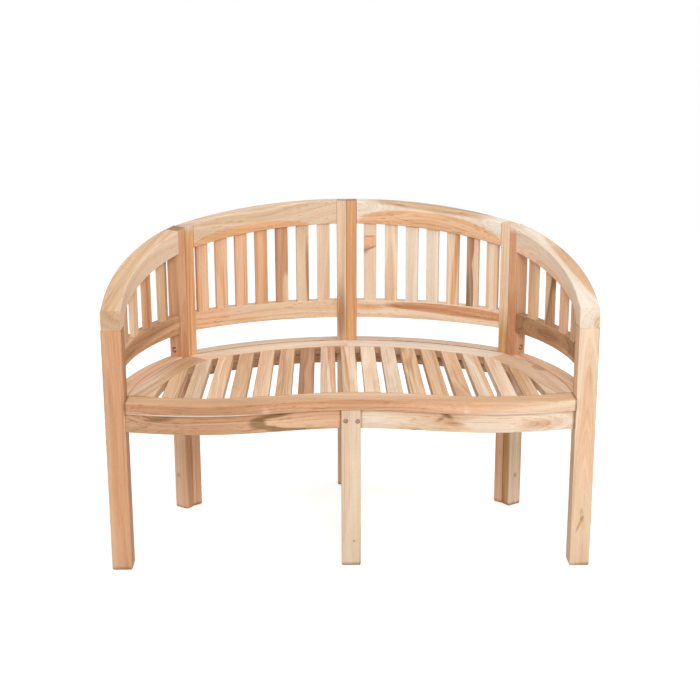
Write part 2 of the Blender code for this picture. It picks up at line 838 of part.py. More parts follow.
def build():
    for item in list(bpy.data.objects):
        bpy.data.objects.remove(item)
    bpy.context.scene.collection.children.link(bench)
    bpy.context.scene.collection.children.link(cutters)

    apron_high = SEAT_HEIGHT + APRON_RISE
    apron_low = apron_high - APRON_HEIGHT
    for side, hand in SIDES:
        centre_tone, outer_tone, end_tone = STILE_TONES[hand]
        crest_tone, arm_tone, lower_tone, end_lower_tone = RAIL_TONES[hand]
        corner_leg(side, hand, LEG_TONES[hand])
        stile(f"centre_stile_{hand}", side, centre_tone, middle, True)
        stile(f"outer_stile_{hand}", side, outer_tone, middle, False)
        stile(f"end_stile_{hand}", side, end_tone, end, True)
        crest_rail(side, hand, crest_tone)
        arm_rail(side, hand, arm_tone)
        for kind, tone, arc in (
            ("back_lower_rail", lower_tone, middle),
            ("end_lower_rail", end_lower_tone, end),
        ):
            level_rail(
                kind, side, hand, tone, arc, LOWER_RAIL_SETBACK, LOWER_RAIL_THICKNESS,
                lower_rail_low, lower_rail_top,
            )
        for kind, arc in (("rear_apron", middle), ("end_apron", end)):
            level_rail(kind, side, hand, APRON_TONE, arc, FIT, APRON_THICKNESS, apron_low, apron_high)
        back_slats(side, hand, BACK_SLAT_TONES[hand])
        end_slats(side, hand)
        seat_border(side, hand, *BORDER_TONES[hand])
        front_apron(side, hand, FRONT_APRON_TONES[hand])
    nosing(NOSING_TONE)
    bearer(BEARER_TONE, centre_leg(CENTRE_LEG_TONE))
    seat_slats(SEAT_SLAT_TONES)
    cut_joints()
    centre_on_origin()


def centre_on_origin():
    """Hangs every board on one empty, moved so that the bench stands centred on the origin."""
    root = bpy.data.objects.new("bench_root", None)
    bench.objects.link(root)
    front = min(nosing_front(nosing_bulge_at), 0.0)
    back = BACK_REACH + CREST_SETBACK + CREST_THICKNESS
    root.location.y = -(front + back) / 2
    for item in list(bench.objects) + list(cutters.objects):
        if item is not root:
            item.parent = root


build()
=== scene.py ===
# A curved garden bench in solid teak, photographed new and unoiled.
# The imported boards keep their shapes. Each one gets its own piece of timber: its own grain
# direction, tone, growth rings, streaks and knots, because no two boards of such a bench match.

import math
import random

import bmesh
import bpy
from mathutils import Matrix, Vector


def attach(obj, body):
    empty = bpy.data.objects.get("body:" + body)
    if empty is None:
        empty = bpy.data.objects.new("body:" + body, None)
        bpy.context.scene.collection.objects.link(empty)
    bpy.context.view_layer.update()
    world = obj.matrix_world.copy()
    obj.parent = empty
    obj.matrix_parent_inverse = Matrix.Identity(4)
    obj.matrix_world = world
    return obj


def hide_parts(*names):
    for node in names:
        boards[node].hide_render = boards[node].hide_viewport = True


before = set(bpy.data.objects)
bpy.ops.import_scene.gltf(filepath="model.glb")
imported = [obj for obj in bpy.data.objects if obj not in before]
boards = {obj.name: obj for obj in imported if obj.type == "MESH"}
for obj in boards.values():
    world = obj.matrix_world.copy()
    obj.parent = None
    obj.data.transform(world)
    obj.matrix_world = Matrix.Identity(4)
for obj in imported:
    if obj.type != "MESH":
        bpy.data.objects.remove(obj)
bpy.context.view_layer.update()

mm = 0.001
weldDistance = 0.01 * mm
roundSides = 40
print("frame loaded:", len(boards), "boards")


# Colours are written as sRGB hex and turned to linear here
def colour(hexCode):
    channels = [int(hexCode[at:at + 2], 16) / 255 for at in (0, 2, 4)]
    linear = [c / 12.92 if c <= 0.04045 else ((c + 0.055) / 1.055) ** 2.4 for c in channels]
    return (*linear, 1.0)


# Sets or links the inputs of a node
def fill(tree, node, inputs):
    for socket, value in inputs.items():
        if isinstance(value, bpy.types.NodeSocket):
            tree.links.new(value, node.inputs[socket])
        else:
            node.inputs[socket].default_value = value


# Adds a node with its settings, its inputs and, on a ramp, its stops, and gives its outputs
def addNode(tree, kind, inputs=None, stops=(), **settings):
    node = tree.nodes.new(kind)
    for name, value in settings.items():
        setattr(node, name, value)
    fill(tree, node, inputs or {})
    for number, (place, hexCode) in enumerate(stops):
        ramp = node.color_ramp.elements
        stop = ramp[number] if number < len(ramp) else ramp.new(place)
        stop.position = place
        stop.color = colour(hexCode)
    return node.outputs


# Tones of the timber, each from its pale growth to its dark streaks
tones = {
    "cream": ("F1E5D4", "E8D7C2", "DAC2A5"),
    "blond": ("F2DFC6", "EACFB3", "DBB693"),
    "wheat": ("E9D6BD", "DFC5A8", "C9A788"),
    "honey": ("EDD4B5", "E4C2A1", "D1A680"),
    "peach": ("F1CCA8", "E7B892", "D29D74"),
    "tan": ("E3C4A0", "D5AF89", "BC9069"),
    "orange": ("EABD8D", "DDA676", "C38B5A"),
    "rust": ("DCAF89", "CE9870", "B27B54"),
    "olive": ("D0A672", "BA8B59", "966C3E"),
    "brown": ("C69D78", "AF835F", "91674A"),
    "umber": ("A27A52", "84603D", "64452A"),
    "dusty": ("B8A084", "A08669", "7E6850"),
    "knot": ("8F6A4B", "6E4D36", "523827"),
}
tonePlaces = (0.05, 0.45, 0.95)
toneStops = {name: tuple(zip(tonePlaces, hexCodes)) for name, hexCodes in tones.items()}

# Sanded teak, cut as boards: what the saw and the sander leave for the eye. Sizes in mm
timber = {
    "ringWidth": 3.6,                   # a year's growth, seen as fine lines along a board
    "ringDetail": 1.0,
    "lateWood": 5.0,                    # how suddenly a year's growth ends
    "band": (800.0, 15.0, 3.0, 0.6),    # lighter and darker streaks that follow the rings
    "wander": 22.0,                     # how far the grain strays from straight
    "seedStep": (911.0, 377.0, 613.0),  # from one board's wood to the next
    "endGrain": (0.72, 0.94),           # how squarely a face cuts the grain when it looks sawn
    "plain": 0.36,                      # where plain wood lies between its pale and dark tones
    "specular": 0.32,                   # bare wood hardly shines
    "bumpStrength": 0.6,
    "bumpHeight": 0.12,
}
# Patterns in a board: length along the grain and width across it in mm, then detail and
# roughness of their noise, as in the band above. Each is centred on 0
patterns = {
    "stray": (330.0, 85.0, 1.5, 0.5),   # slow bends of the rings
    "streak": (420.0, 4.2, 1.0, 0.5),   # sparse darker lines
    "line": (260.0, 1.9, 2.0, 0.6),     # growth lines; real ones are finer, these just show
    "fibre": (30.0, 1.1, 2.0, 0.6),     # real fibres are finer, these just show
    "pore": (9.0, 0.6, 0.0, 0.5),       # open vessels, dark short dashes
    "blotch": (190.0, 95.0, 2.0, 0.5),  # uneven drying
}
# Of these only the crests show, from the first value on and in full at the second
crests = {"streak": (0.10, 0.24), "pore": (0.10, 0.22)}
# What the wood shows: a level, and how much each pattern changes it
woodSums = {
    "Figure": (0.0, {"band": 2.1, "ring": 0.55, "lateWood": 0.16, "line": 0.78, "streak": 0.55}),
    "Shade": (1.0, {"fibre": 0.16, "pore": -0.10, "blotch": 0.16}),
    "Height": (0.0, {"fibre": 0.5, "pore": -0.6, "lateWood": -0.25}),
    "Roughness": (0.60, {"fibre": 0.12, "endGrain": 0.15}),
}


def timberGroup():
    group = bpy.data.node_groups.new("teakGrain", "ShaderNodeTree")
    sockets = {"NodeSocketVector": ("Board", "Grain", "Pith"),
               "NodeSocketFloat": ("Seed", "Slope", "Push", "Contrast", "EndShade")}
    for kind, names in sockets.items():
        for name in names:
            group.interface.new_socket(name, in_out="INPUT", socket_type=kind)
    for name in (*woodSums, "Stray"):
        group.interface.new_socket(name, in_out="OUTPUT", socket_type="NodeSocketFloat")
    given = addNode(group, "NodeGroupInput")

    # Every board samples the noise somewhere else
    shift = addNode(group, "ShaderNodeVectorMath", {
        0: timber["seedStep"], "Scale": given["Seed"]}, operation="SCALE")[0]
    place = addNode(group, "ShaderNodeVectorMath", {0: given["Board"], 1: shift}, operation="ADD")[0]
    field = {}
    for name, (length, width, detail, roughness) in patterns.items():
        spot = addNode(group, "ShaderNodeVectorMath", {
            0: place, 1: (1 / length, 1 / width, 1 / width)}, operation="MULTIPLY")[0]
        cloud = addNode(group, "ShaderNodeTexNoise", {
            "Vector": spot, "Scale": 1.0, "Detail": detail, "Roughness": roughness})["Fac"]
        field[name] = addNode(group, "ShaderNodeMath", {0: cloud, 1: 0.5}, operation="SUBTRACT")[0]
    for name, (low, high) in crests.items():
        field[name] = addNode(group, "ShaderNodeMapRange", {
            "Value": field[name], "From Min": low, "From Max": high})[0]

    # Growth rings round the pith of the log, which wander and lean along the board
    local = addNode(group, "ShaderNodeVectorMath", {
        0: given["Board"], 1: given["Pith"]}, operation="SUBTRACT")[0]
    flat = addNode(group, "ShaderNodeVectorMath", {0: local, 1: (0.0, 1.0, 1.0)}, operation="MULTIPLY")[0]
    radius = addNode(group, "ShaderNodeVectorMath", {0: flat}, operation="LENGTH")["Value"]
    along = addNode(group, "ShaderNodeSeparateXYZ", {0: given["Board"]})["X"]
    for source, weight in (
        (along, given["Slope"]), (field["stray"], timber["wander"]), (given["Push"], 1.0),
    ):
        radius = addNode(group, "ShaderNodeMath", {
            0: source, 1: weight, 2: radius}, operation="MULTIPLY_ADD")[0]

    ringAt = addNode(group, "ShaderNodeMath", {
        0: radius, 1: 1 / timber["ringWidth"], 2: given["Seed"]}, operation="MULTIPLY_ADD")[0]
    inYear = addNode(group, "ShaderNodeMath", {0: ringAt}, operation="FRACT")[0]
    field["lateWood"] = addNode(group, "ShaderNodeMath", {
        0: inYear, 1: timber["lateWood"]}, operation="POWER")[0]
    ring = addNode(group, "ShaderNodeTexNoise", {
        "W": ringAt, "Scale": 1.0, "Detail": timber["ringDetail"]}, noise_dimensions="1D")["Fac"]
    length, width, detail, roughness = timber["band"]
    bandAt = addNode(group, "ShaderNodeCombineXYZ", {"X": along, "Y": radius, "Z": given["Seed"]})[0]
    bandAt = addNode(group, "ShaderNodeVectorMath", {
        0: bandAt, 1: (1 / length, 1 / width, 1.0)}, operation="MULTIPLY")[0]
    band = addNode(group, "ShaderNodeTexNoise", {
        "Vector": bandAt, "Scale": 1.0, "Detail": detail, "Roughness": roughness})["Fac"]
    for name, cloud in (("ring", ring), ("band", band)):
        field[name] = addNode(group, "ShaderNodeMath", {0: cloud, 1: 0.5}, operation="SUBTRACT")[0]

    # Sawn ends cut the vessels across and drink up the light
    normal = addNode(group, "ShaderNodeTexCoord")["Normal"]
    facing = addNode(group, "ShaderNodeVectorMath", {
        0: normal, 1: given["Grain"]}, operation="DOT_PRODUCT")["Value"]
    facing = addNode(group, "ShaderNodeMath", {0: facing}, operation="ABSOLUTE")[0]
    low, high = timber["endGrain"]
    field["endGrain"] = addNode(group, "ShaderNodeMapRange", {
        "Value": facing, "From Min": low, "From Max": high})[0]

    shown = {"Stray": field["stray"]}
    for name, (total, weights) in woodSums.items():
        for part, weight in weights.items():
            total = addNode(group, "ShaderNodeMath", {
                0: field[part], 1: weight, 2: total}, operation="MULTIPLY_ADD")[0]
        shown[name] = total
    shown["Figure"] = addNode(group, "ShaderNodeMath", {
        0: shown["Figure"], 1: given["Contrast"], 2: timber["plain"]}, operation="MULTIPLY_ADD")[0]
    soaked = addNode(group, "ShaderNodeMath", {
        0: field["endGrain"], 1: given["EndShade"]}, operation="MULTIPLY")[0]
    dry = addNode(group, "ShaderNodeMath", {0: 1.0, 1: soaked}, operation="SUBTRACT")[0]
    shown["Shade"] = addNode(group, "ShaderNodeMath", {0: shown["Shade"], 1: dry}, operation="MULTIPLY")[0]
    addNode(group, "NodeGroupOutput", shown)
    return group


teakGrain = timberGroup()

# A knot pushes the grain aside by so many of its widths, which fades away from it, and a mark
# for one side shows on faces that look that way
markLook = {"knotPush": 2.2, "knotFade": 0.22, "sideShows": (0.6, 0.8)}


# A patch of other timber in a board, in mm along and across it from the board's middle:
# heartwood in sapwood, a dark streak, a painted shade or highlight or, in the tone "knot",
# a knot that the grain flows round.
# It lies at a depth in the board and reaches so far through it. A turn is in degrees, soft is
# how blurred the edge is, and ragged is how far the grain breaks it
def patch(tone, at, size, depth=0.0, reach=1000.0, turn=0.0, soft=0.15, ragged=0.9,
          strength=1.0, side=None):
    return {
        "tone": tone, "place": (*at, depth), "size": (*size, reach), "turn": math.radians(turn),
        "soft": soft, "ragged": ragged, "strength": strength, "side": side,
    }


wholeBoard = ((0, 0), (500, 500))    # an oval that covers any board but the nosing


# Sanded teak of one board: soft streaks along the grain, hardly any gloss
def teak(name, axes, tone, seed, pith, slope, contrast=1.0, endShade=0.26, marks=()):
    material = bpy.data.materials.new("sandedTeak_" + name)
    material.use_nodes = True
    tree = material.node_tree
    given = addNode(tree, "ShaderNodeTexCoord")
    toBoard = addNode(tree, "ShaderNodeMapping", {
        "Vector": given["Object"], "Location": axes.to_translation(),
        "Rotation": axes.to_euler(), "Scale": (mm, mm, mm),
    }, vector_type="TEXTURE")[0]

    # A mark's reach is 0 at its middle and 1 at its edge
    reaches, push = [], 0.0
    for mark in marks:
        away = addNode(tree, "ShaderNodeMapping", {
            "Vector": toBoard, "Location": mark["place"],
            "Rotation": (0.0, 0.0, mark["turn"]), "Scale": mark["size"],
        }, vector_type="TEXTURE")[0]
        reach = addNode(tree, "ShaderNodeVectorMath", {0: away}, operation="LENGTH")["Value"]
        reaches.append(reach)
        if mark["tone"] == "knot":
            near = addNode(tree, "ShaderNodeMath", {0: reach, 1: reach}, operation="MULTIPLY")[0]
            near = addNode(tree, "ShaderNodeMath", {
                0: near, 1: -markLook["knotFade"]}, operation="MULTIPLY")[0]
            near = addNode(tree, "ShaderNodeMath", {0: near}, operation="EXPONENT")[0]
            push = addNode(tree, "ShaderNodeMath", {
                0: near, 1: markLook["knotPush"] * mark["size"][1], 2: push}, operation="MULTIPLY_ADD")[0]

    grain = addNode(tree, "ShaderNodeGroup", {
        "Board": toBoard, "Grain": axes.col[0].xyz, "Pith": (0.0, *pith), "Seed": seed,
        "Slope": slope, "Push": push, "Contrast": contrast, "EndShade": endShade,
    }, node_tree=teakGrain)
    tint = addNode(tree, "ShaderNodeValToRGB", {0: grain["Figure"]}, toneStops[tone])["Color"]
    for mark, reach in zip(marks, reaches):
        edge = addNode(tree, "ShaderNodeMath", {
            0: grain["Stray"], 1: mark["ragged"], 2: reach}, operation="MULTIPLY_ADD")[0]
        mask = addNode(tree, "ShaderNodeMapRange", {
            "Value": edge, "From Min": 1 + mark["soft"], "From Max": 1 - mark["soft"],
            "To Max": mark["strength"],
        })[0]
        if mark["side"]:
            facing = addNode(tree, "ShaderNodeVectorMath", {
                0: given["Normal"], 1: mark["side"]}, operation="DOT_PRODUCT")["Value"]
            low, high = markLook["sideShows"]
            mask = addNode(tree, "ShaderNodeMapRange", {
                "Value": facing, "From Min": low, "From Max": high, "To Max": mask})[0]
        other = addNode(tree, "ShaderNodeValToRGB", {0: grain["Figure"]}, toneStops[mark["tone"]])["Color"]
        tint = addNode(tree, "ShaderNodeMix", {
            "Factor": mask, "A": tint, "B": other}, data_type="RGBA")["Result"]
    tint = addNode(tree, "ShaderNodeVectorMath", {0: tint, "Scale": grain["Shade"]}, operation="SCALE")[0]
    bump = addNode(tree, "ShaderNodeBump", {
        "Height": grain["Height"], "Distance": timber["bumpHeight"] * mm,
        "Strength": timber["bumpStrength"],
    })["Normal"]
    fill(tree, tree.nodes["Principled BSDF"], {
        "Base Color": tint, "Roughness": grain["Roughness"], "Normal": bump,
        "Specular IOR Level": timber["specular"],
    })
    return material


# A board's own axes: x along its grain, y across its face, z through it, from its middle
def boardAxes(item, across=None):
    spots = [vertex.co.copy() for vertex in item.data.vertices]
    centre = sum(spots, Vector()) / len(spots)
    skewed = Vector((0.31, 0.37, 0.41))    # square to no board
    rounds = 60                            # more than any board needs to settle

    def longest(without):
        axis = skewed
        for _ in range(rounds):
            pull = Vector()
            for spot in spots:
                reach = spot - centre
                for other in without:
                    reach = reach - other * reach.dot(other)
                pull += reach * reach.dot(axis)
            axis = pull.normalized()
        return axis

    grain = longest(())
    if max(grain, key=abs) < 0.0:
        grain = -grain
    if across is None:
        across = longest((grain,))
        if max(across, key=abs) < 0.0:
            across = -across
    across = (Vector(across) - grain * grain.dot(Vector(across))).normalized()
    axes = Matrix((grain, across, grain.cross(across))).transposed().to_4x4()
    inverse = axes.inverted()
    local = [inverse @ spot for spot in spots]
    axes.translation = axes @ Vector([(min(along) + max(along)) / 2 for along in zip(*local)])
    return axes


def pointed(outward):
    return Vector(outward).to_track_quat("Z", "Y")


# Packed triangles are welded, holes are drilled, and soft edges are shaded round.
# A hole is its place on the board, the way it looks out, its diameter and its depth in mm
edgeLook = {
    "crisp": 50.0,       # degrees; a sharper turn stays an edge
    "faceWeight": 70,    # how flat wide faces stay beside it; 50 is even
}


def edgeGroup(holes=()):
    group = bpy.data.node_groups.new("softEdges", "GeometryNodeTree")
    for way in ("INPUT", "OUTPUT"):
        group.interface.new_socket("Geometry", in_out=way, socket_type="NodeSocketGeometry")
    shape = addNode(group, "NodeGroupInput")[0]
    shape = addNode(group, "GeometryNodeMergeByDistance", {
        "Geometry": shape, "Distance": weldDistance})[0]
    shape = addNode(group, "GeometryNodeRemoveAttribute", {"Geometry": shape, "Name": "custom_normal"})[0]
    for place, outward, wide, deep in holes:
        drill = addNode(group, "GeometryNodeMeshCylinder", {
            "Vertices": roundSides, "Radius": wide / 2 * mm, "Depth": 2 * deep * mm})["Mesh"]
        drill = addNode(group, "GeometryNodeTransform", {
            "Geometry": drill, "Translation": place, "Rotation": pointed(outward).to_euler()})[0]
        shape = addNode(group, "GeometryNodeMeshBoolean", {
            "Mesh 1": shape, "Mesh 2": drill}, operation="DIFFERENCE")["Mesh"]
    turn = addNode(group, "GeometryNodeInputMeshEdgeAngle")["Unsigned Angle"]
    crisp = addNode(group, "FunctionNodeCompare", {
        0: turn, 1: math.radians(edgeLook["crisp"])}, operation="GREATER_THAN")[0]
    shape = addNode(group, "GeometryNodeStoreNamedAttribute", {
        "Geometry": shape, "Name": "sharp_edge", "Value": crisp,
    }, data_type="BOOLEAN", domain="EDGE")[0]
    shape = addNode(group, "GeometryNodeSetShadeSmooth", {"Geometry": shape, "Shade Smooth": True})[0]
    addNode(group, "NodeGroupOutput", {0: shape})
    return group


plainEdges = edgeGroup()


# Where a board lay in its log: the pith across it and through it in mm, and how it leans
cuts = {"pithAcross": (-70, 70), "pithThrough": (18, 60), "slope": (-0.03, 0.03), "seed": (1, 9)}


# Dresses one board; its place in the log is drawn from its name
def dress(item, tone, across=None, holes=(), **look):
    chance = random.Random(item.name)
    drawn = {name: chance.uniform(*span) for name, span in cuts.items()}
    look = {"pith": (drawn["pithAcross"], drawn["pithThrough"]), "slope": drawn["slope"], **look}
    finish = teak(item.name, boardAxes(item, across), tone, drawn["seed"], **look)
    if item.material_slots:
        item.material_slots[0].material = finish
    else:
        item.data.materials.append(finish)
    item.modifiers.new("softEdges", "NODES").node_group = edgeGroup(holes) if holes else plainEdges
    flat = item.modifiers.new("flatFaces", "WEIGHTED_NORMAL")
    flat.keep_sharp = True
    flat.weight = edgeLook["faceWeight"]


up = (0.0, 0.0, 1.0)
sideways = (1.0, 0.0, 0.0)
forward = (0.0, -1.0, 0.0)

# Screws through the centre leg into the aprons lie under round plugs, and bolts with sunk
# nuts hold each pair of stiles together. Places in metres, sizes in mm
plugs = {
    "places": ((-0.0132, -0.2858, 0.3842), (0.0163, -0.2858, 0.3832)),
    "hole": 12.0, "depth": 9.0, "plug": 11.5, "sunk": 0.9, "chamfer": 0.5, "gap": 0.3,
}
bolts = {
    "height": 0.461, "hole": 16.0, "depth": 11.0,
    "stiles": {
        ("end_stile_left", "outer_stile_left"): ((-0.4755, 0.1215), (-0.4334, 0.1686)),
        ("end_stile_right", "outer_stile_right"): ((0.4755, 0.1215), (0.4334, 0.1686)),
        ("centre_stile_left", "centre_stile_right"): ((-0.0280, 0.3110), (0.0280, 0.3110)),
    },
}
drilled = {"front_leg_centre": [
    (place, forward, plugs["hole"], plugs["depth"]) for place in plugs["places"]]}
boltEnds = []    # each bolt's nut and head, and the way its nut looks out
for (nutStile, headStile), ends in bolts["stiles"].items():
    nutAt, headAt = (Vector((*end, bolts["height"])) for end in ends)
    outward = (nutAt - headAt).normalized()
    drilled[nutStile] = [(nutAt, outward, bolts["hole"], bolts["depth"])]
    drilled[headStile] = [(headAt, -outward, bolts["hole"], bolts["depth"])]
    boltEnds.append((nutAt, headAt, outward))

# Legs and stiles, from the floor up
postTimber = {
    "front_leg_left": ("rust", {"contrast": 0.6, "marks": (
        patch("tan", (-40, -21), (420, 9), soft=0.6, strength=0.6),
        # painted shade: the inner side of the leg is painted browner
        patch("brown", *wholeBoard, side=sideways, strength=0.6),
    )}),
    "front_leg_right": ("honey", {"contrast": 0.8, "pith": (3, -8), "slope": 0.05, "marks": (
        # painted shade: the inner side of the leg is painted tan
        patch("tan", *wholeBoard, side=(-1.0, 0.0, 0.0), strength=0.8),
        patch("peach", (0, 4), (260, 13), soft=0.8, strength=0.8),
        patch("tan", (-190, 0), (34, 10), depth=-25, reach=14, soft=0.7, strength=0.8),
        patch("umber", (-195, 0), (8, 3.5), turn=15, depth=-25, reach=12, soft=0.5, strength=0.9),
        patch("brown", (-209, -5), (18, 3), turn=21, depth=-25, reach=12, soft=0.6, strength=0.9),
        patch("brown", (-176, -1), (9, 3), depth=-25, reach=12, soft=0.6, strength=0.7),
    )}),
    "front_leg_centre": ("wheat", {"contrast": 0.7, "marks": (
        patch("knot", (-139, 7), (3.2, 2.6), depth=-25, reach=12, soft=0.5, strength=0.5),
    )}),
    "centre_stile_left": ("honey", {"marks": (
        # painted shade: a thin brown line along the edge that meets the right stile
        patch("brown", (0, 14.5), (425, 1.6), soft=0.5, ragged=0.3),
        patch("brown", (90, -2), (95, 13), soft=0.5),
    )}),
    "centre_stile_right": ("orange", {"contrast": 0.8}),
    "outer_stile_left": ("orange", {"endShade": 0.1, "marks": (
        # painted light: the lower part is painted paler against the shade under the seat
        patch("peach", (-320, 0), (200, 60), soft=0.4, strength=0.8),
        patch("wheat", (401, 0), (13, 300), soft=0.5, ragged=1.5),
    )}),
    "outer_stile_right": ("honey", {"endShade": 0.1, "marks": (
        patch("olive", (60, -14), (75, 26), soft=0.5),
        # painted light: the lower part is painted paler against the shade under the seat
        patch("peach", (-320, 0), (240, 60), soft=0.3),
        patch("brown", (-310, -5), (230, 2.5), soft=0.5, strength=0.9),
    )}),
    "end_stile_left": ("rust", {"contrast": 0.8, "marks": (
        # painted light: the lower part is painted paler against the shade under the seat
        patch("peach", (-300, 0), (200, 60), soft=0.4),
        patch("rust", (-310, 18), (230, 8), soft=0.3),
        patch("knot", (-302, -16), (5, 4), depth=-11, reach=12, soft=0.6, strength=0.4),
    )}),
    "end_stile_right": ("rust", {"endShade": 0.1, "marks": (
        # painted light: the lower part is painted paler, blond with a little peach, against the shade
        # under the seat
        patch("blond", (-320, 0), (240, 60), soft=0.25),
        patch("peach", (-320, 0), (240, 60), soft=0.25, strength=0.15),
        patch("olive", (-320, -20), (250, 9), soft=0.2, ragged=0.4),
        patch("blond", (399, 0), (13, 300), soft=0.5, ragged=1.5),
        patch("knot", (-309, 8), (5, 4), depth=-16, reach=12, soft=0.6, strength=0.45),
    )}),
}
# Feet are painted darker some way up, and the sawn tops of most posts are dark
postEnds = {"darkerFoot": {"size": (7, 300), "soft": 0.6, "ragged": 1.5, "strength": 0.7}, "shade": 0.42}
for name, (tone, look) in postTimber.items():
    foot = boards[name].dimensions.z / 2 / mm
    darkerFoot = patch("umber", (-foot, 0), **postEnds["darkerFoot"])
    look = {"endShade": postEnds["shade"], **look, "marks": (*look.get("marks", ()), darkerFoot)}
    dress(boards[name], tone, sideways, drilled.get(name, ()), **look)

# Curved rails are sawn from straight planks, so their heartwood shows as long lenses
railTimber = {
    "crest_rail_left": ("wheat", {"contrast": 0.8, "marks": (
        patch("tan", *wholeBoard, strength=0.35),
        patch("orange", (-35, -41), (192, 41), soft=0.03, ragged=0.25),
    )}),
    "crest_rail_right": ("cream", {"marks": (
        patch("orange", (8, -33), (208, 50), soft=0.04, ragged=0.25, strength=0.85),
        patch("olive", (-28, 40), (190, 15), turn=-0.5, soft=0.2, ragged=0.3, strength=0.75),
    )}),
    "arm_rail_left": ("tan", {"endShade": 0.1, "contrast": 0.6, "marks": (
        patch("blond", *wholeBoard, side=(0.96, -0.25, 0.0)),
        patch("tan", (-228, 12), (20, 12), depth=25, reach=12, soft=0.4, strength=0.6),
    )}),
    "arm_rail_right": ("cream", {"endShade": 0.0, "contrast": 0.8, "marks": (
        patch("wheat", *wholeBoard, strength=0.2),
        patch("peach", (0, -20), (260, 30), side=(-0.96, -0.25, 0.0), soft=0.5, strength=0.6),
        patch("tan", (-30, 20), (250, 140), depth=44, reach=40, soft=0.1),
        patch("orange", (-50, 36), (110, 60), depth=40, reach=28, soft=0.8, strength=0.35),
        patch("tan", (-236, -10), (26, 20), depth=8, reach=17, soft=0.15),
    )}),
    "back_lower_rail_left": ("honey", {"marks": (
        patch("peach", (-195, 2), (78, 36), soft=0.06),
        patch("orange", (-50, -15), (45, 5), soft=0.5, strength=0.7),
    )}),
    "back_lower_rail_right": ("blond", {"marks": (
        patch("rust", (75, 8), (202, 14), turn=-1.5, soft=0.08, ragged=0.3),
        patch("orange", (-175, 4), (32, 9), soft=0.5, strength=0.7),
    )}),
    # painted shade: the rear aprons are brown for the shade on their faces under the seat, and their lit
    # tops are painted pale wheat
    "rear_apron_left": ("brown", {"marks": (patch("wheat", *wholeBoard, side=up),)}),
    "rear_apron_right": ("brown", {"marks": (
        patch("umber", (60, 0), (140, 20), soft=0.5),
        patch("wheat", *wholeBoard, side=up),
    )}),
    "end_apron_left": ("peach", {}),
    "end_apron_right": ("peach", {}),
}
for name, (tone, look) in railTimber.items():
    dress(boards[name], tone, up, **look)


# A piece with the shape that was made for it
def pieceFrom(name, shape):
    mesh = bpy.data.meshes.new(name)
    shape.to_mesh(mesh)
    shape.free()
    item = bpy.data.objects.new(name, mesh)
    bpy.context.scene.collection.objects.link(item)
    return item


# One board that stands on its own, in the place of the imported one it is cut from
def ownBoard(name, shape, packed, tone, across=None, **look):
    item = pieceFrom(name, shape)
    dress(item, tone, across, **look)
    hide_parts(packed.name)
    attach(item, "root")


# Keeps what lies above or below a level cut and closes it
def sawn(packed, height, keepAbove):
    shape = bmesh.new()
    shape.from_mesh(packed.data)
    bmesh.ops.remove_doubles(shape, verts=shape.verts, dist=weldDistance)
    bmesh.ops.bisect_plane(
        shape, geom=[*shape.verts, *shape.edges, *shape.faces], dist=weldDistance / 2,
        plane_co=(0.0, 0.0, height), plane_no=up, clear_inner=keepAbove, clear_outer=not keepAbove)
    bmesh.ops.holes_fill(shape, edges=[edge for edge in shape.edges if edge.is_boundary])
    return shape


# Splits a shape into the boards it holds, from the front of the bench to the back
def separate(shape):
    shape.verts.ensure_lookup_table()
    left = set(shape.verts)
    islands = []
    while left:    # a board grows from one corner along its edges
        island, rim = set(), {left.pop()}
        while rim:
            island |= rim
            rim = {edge.other_vert(corner) for corner in rim for edge in corner.link_edges} - island
        left -= island
        islands.append(island)
    islands.sort(key=lambda island: min(corner.co.y for corner in island))
    for island in islands:
        board = shape.copy()
        board.verts.ensure_lookup_table()
        kept = {corner.index for corner in island}
        others = [corner for corner in board.verts if corner.index not in kept]
        bmesh.ops.delete(board, geom=others, context="VERTS")
        yield board
    shape.free()


# End panels: a lower rail and the four slats that stand on it, from the front. In metres
endPanels = {"railTop": 0.558, "joint": 0.0001}
endTimber = {
    "left": (
        ("tan", {"marks": (
            patch("rust", *wholeBoard, strength=0.4),
            patch("brown", (-20, 6), (240, 18), turn=3, soft=0.3),
        )}),
        ("tan", {}),
        ("honey", {}),
        ("rust", {}),
        ("tan", {"marks": (patch("brown", (0, 12), (120, 7), soft=0.3),)}),
    ),
    "right": (
        ("brown", {"marks": (
            patch("umber", *wholeBoard, strength=0.35),
            patch("tan", (-150, -20), (120, 8), turn=3, soft=0.4, strength=0.8),
        )}),
        ("tan", {}),
        ("peach", {}),
        ("honey", {"marks": (
            patch("tan", *wholeBoard, strength=0.4),
            patch("brown", (-5, -23), (190, 21), turn=-13, soft=0.1, ragged=0.3, strength=0.85),
            patch("umber", (0, -7), (150, 5), turn=-13, soft=0.5, ragged=0.3, strength=0.6),
        )}),
        ("tan", {"marks": (patch("peach", (-60, 0), (60, 9), soft=0.5),)}),
    ),
}
for hand, ((railTone, railLook), *slats) in endTimber.items():
    packed = boards[f"end_lower_rail_{hand}"]
    rail = sawn(packed, endPanels["railTop"], False)
    ownBoard(f"end_rail_{hand}", rail, packed, railTone, up, **railLook)
    standing = separate(sawn(packed, endPanels["railTop"] + endPanels["joint"], True))
    for number, ((tone, look), shape) in enumerate(zip(slats, standing), start=1):
        ownBoard(f"end_slat_{hand}_{number}", shape, packed, tone, **look)

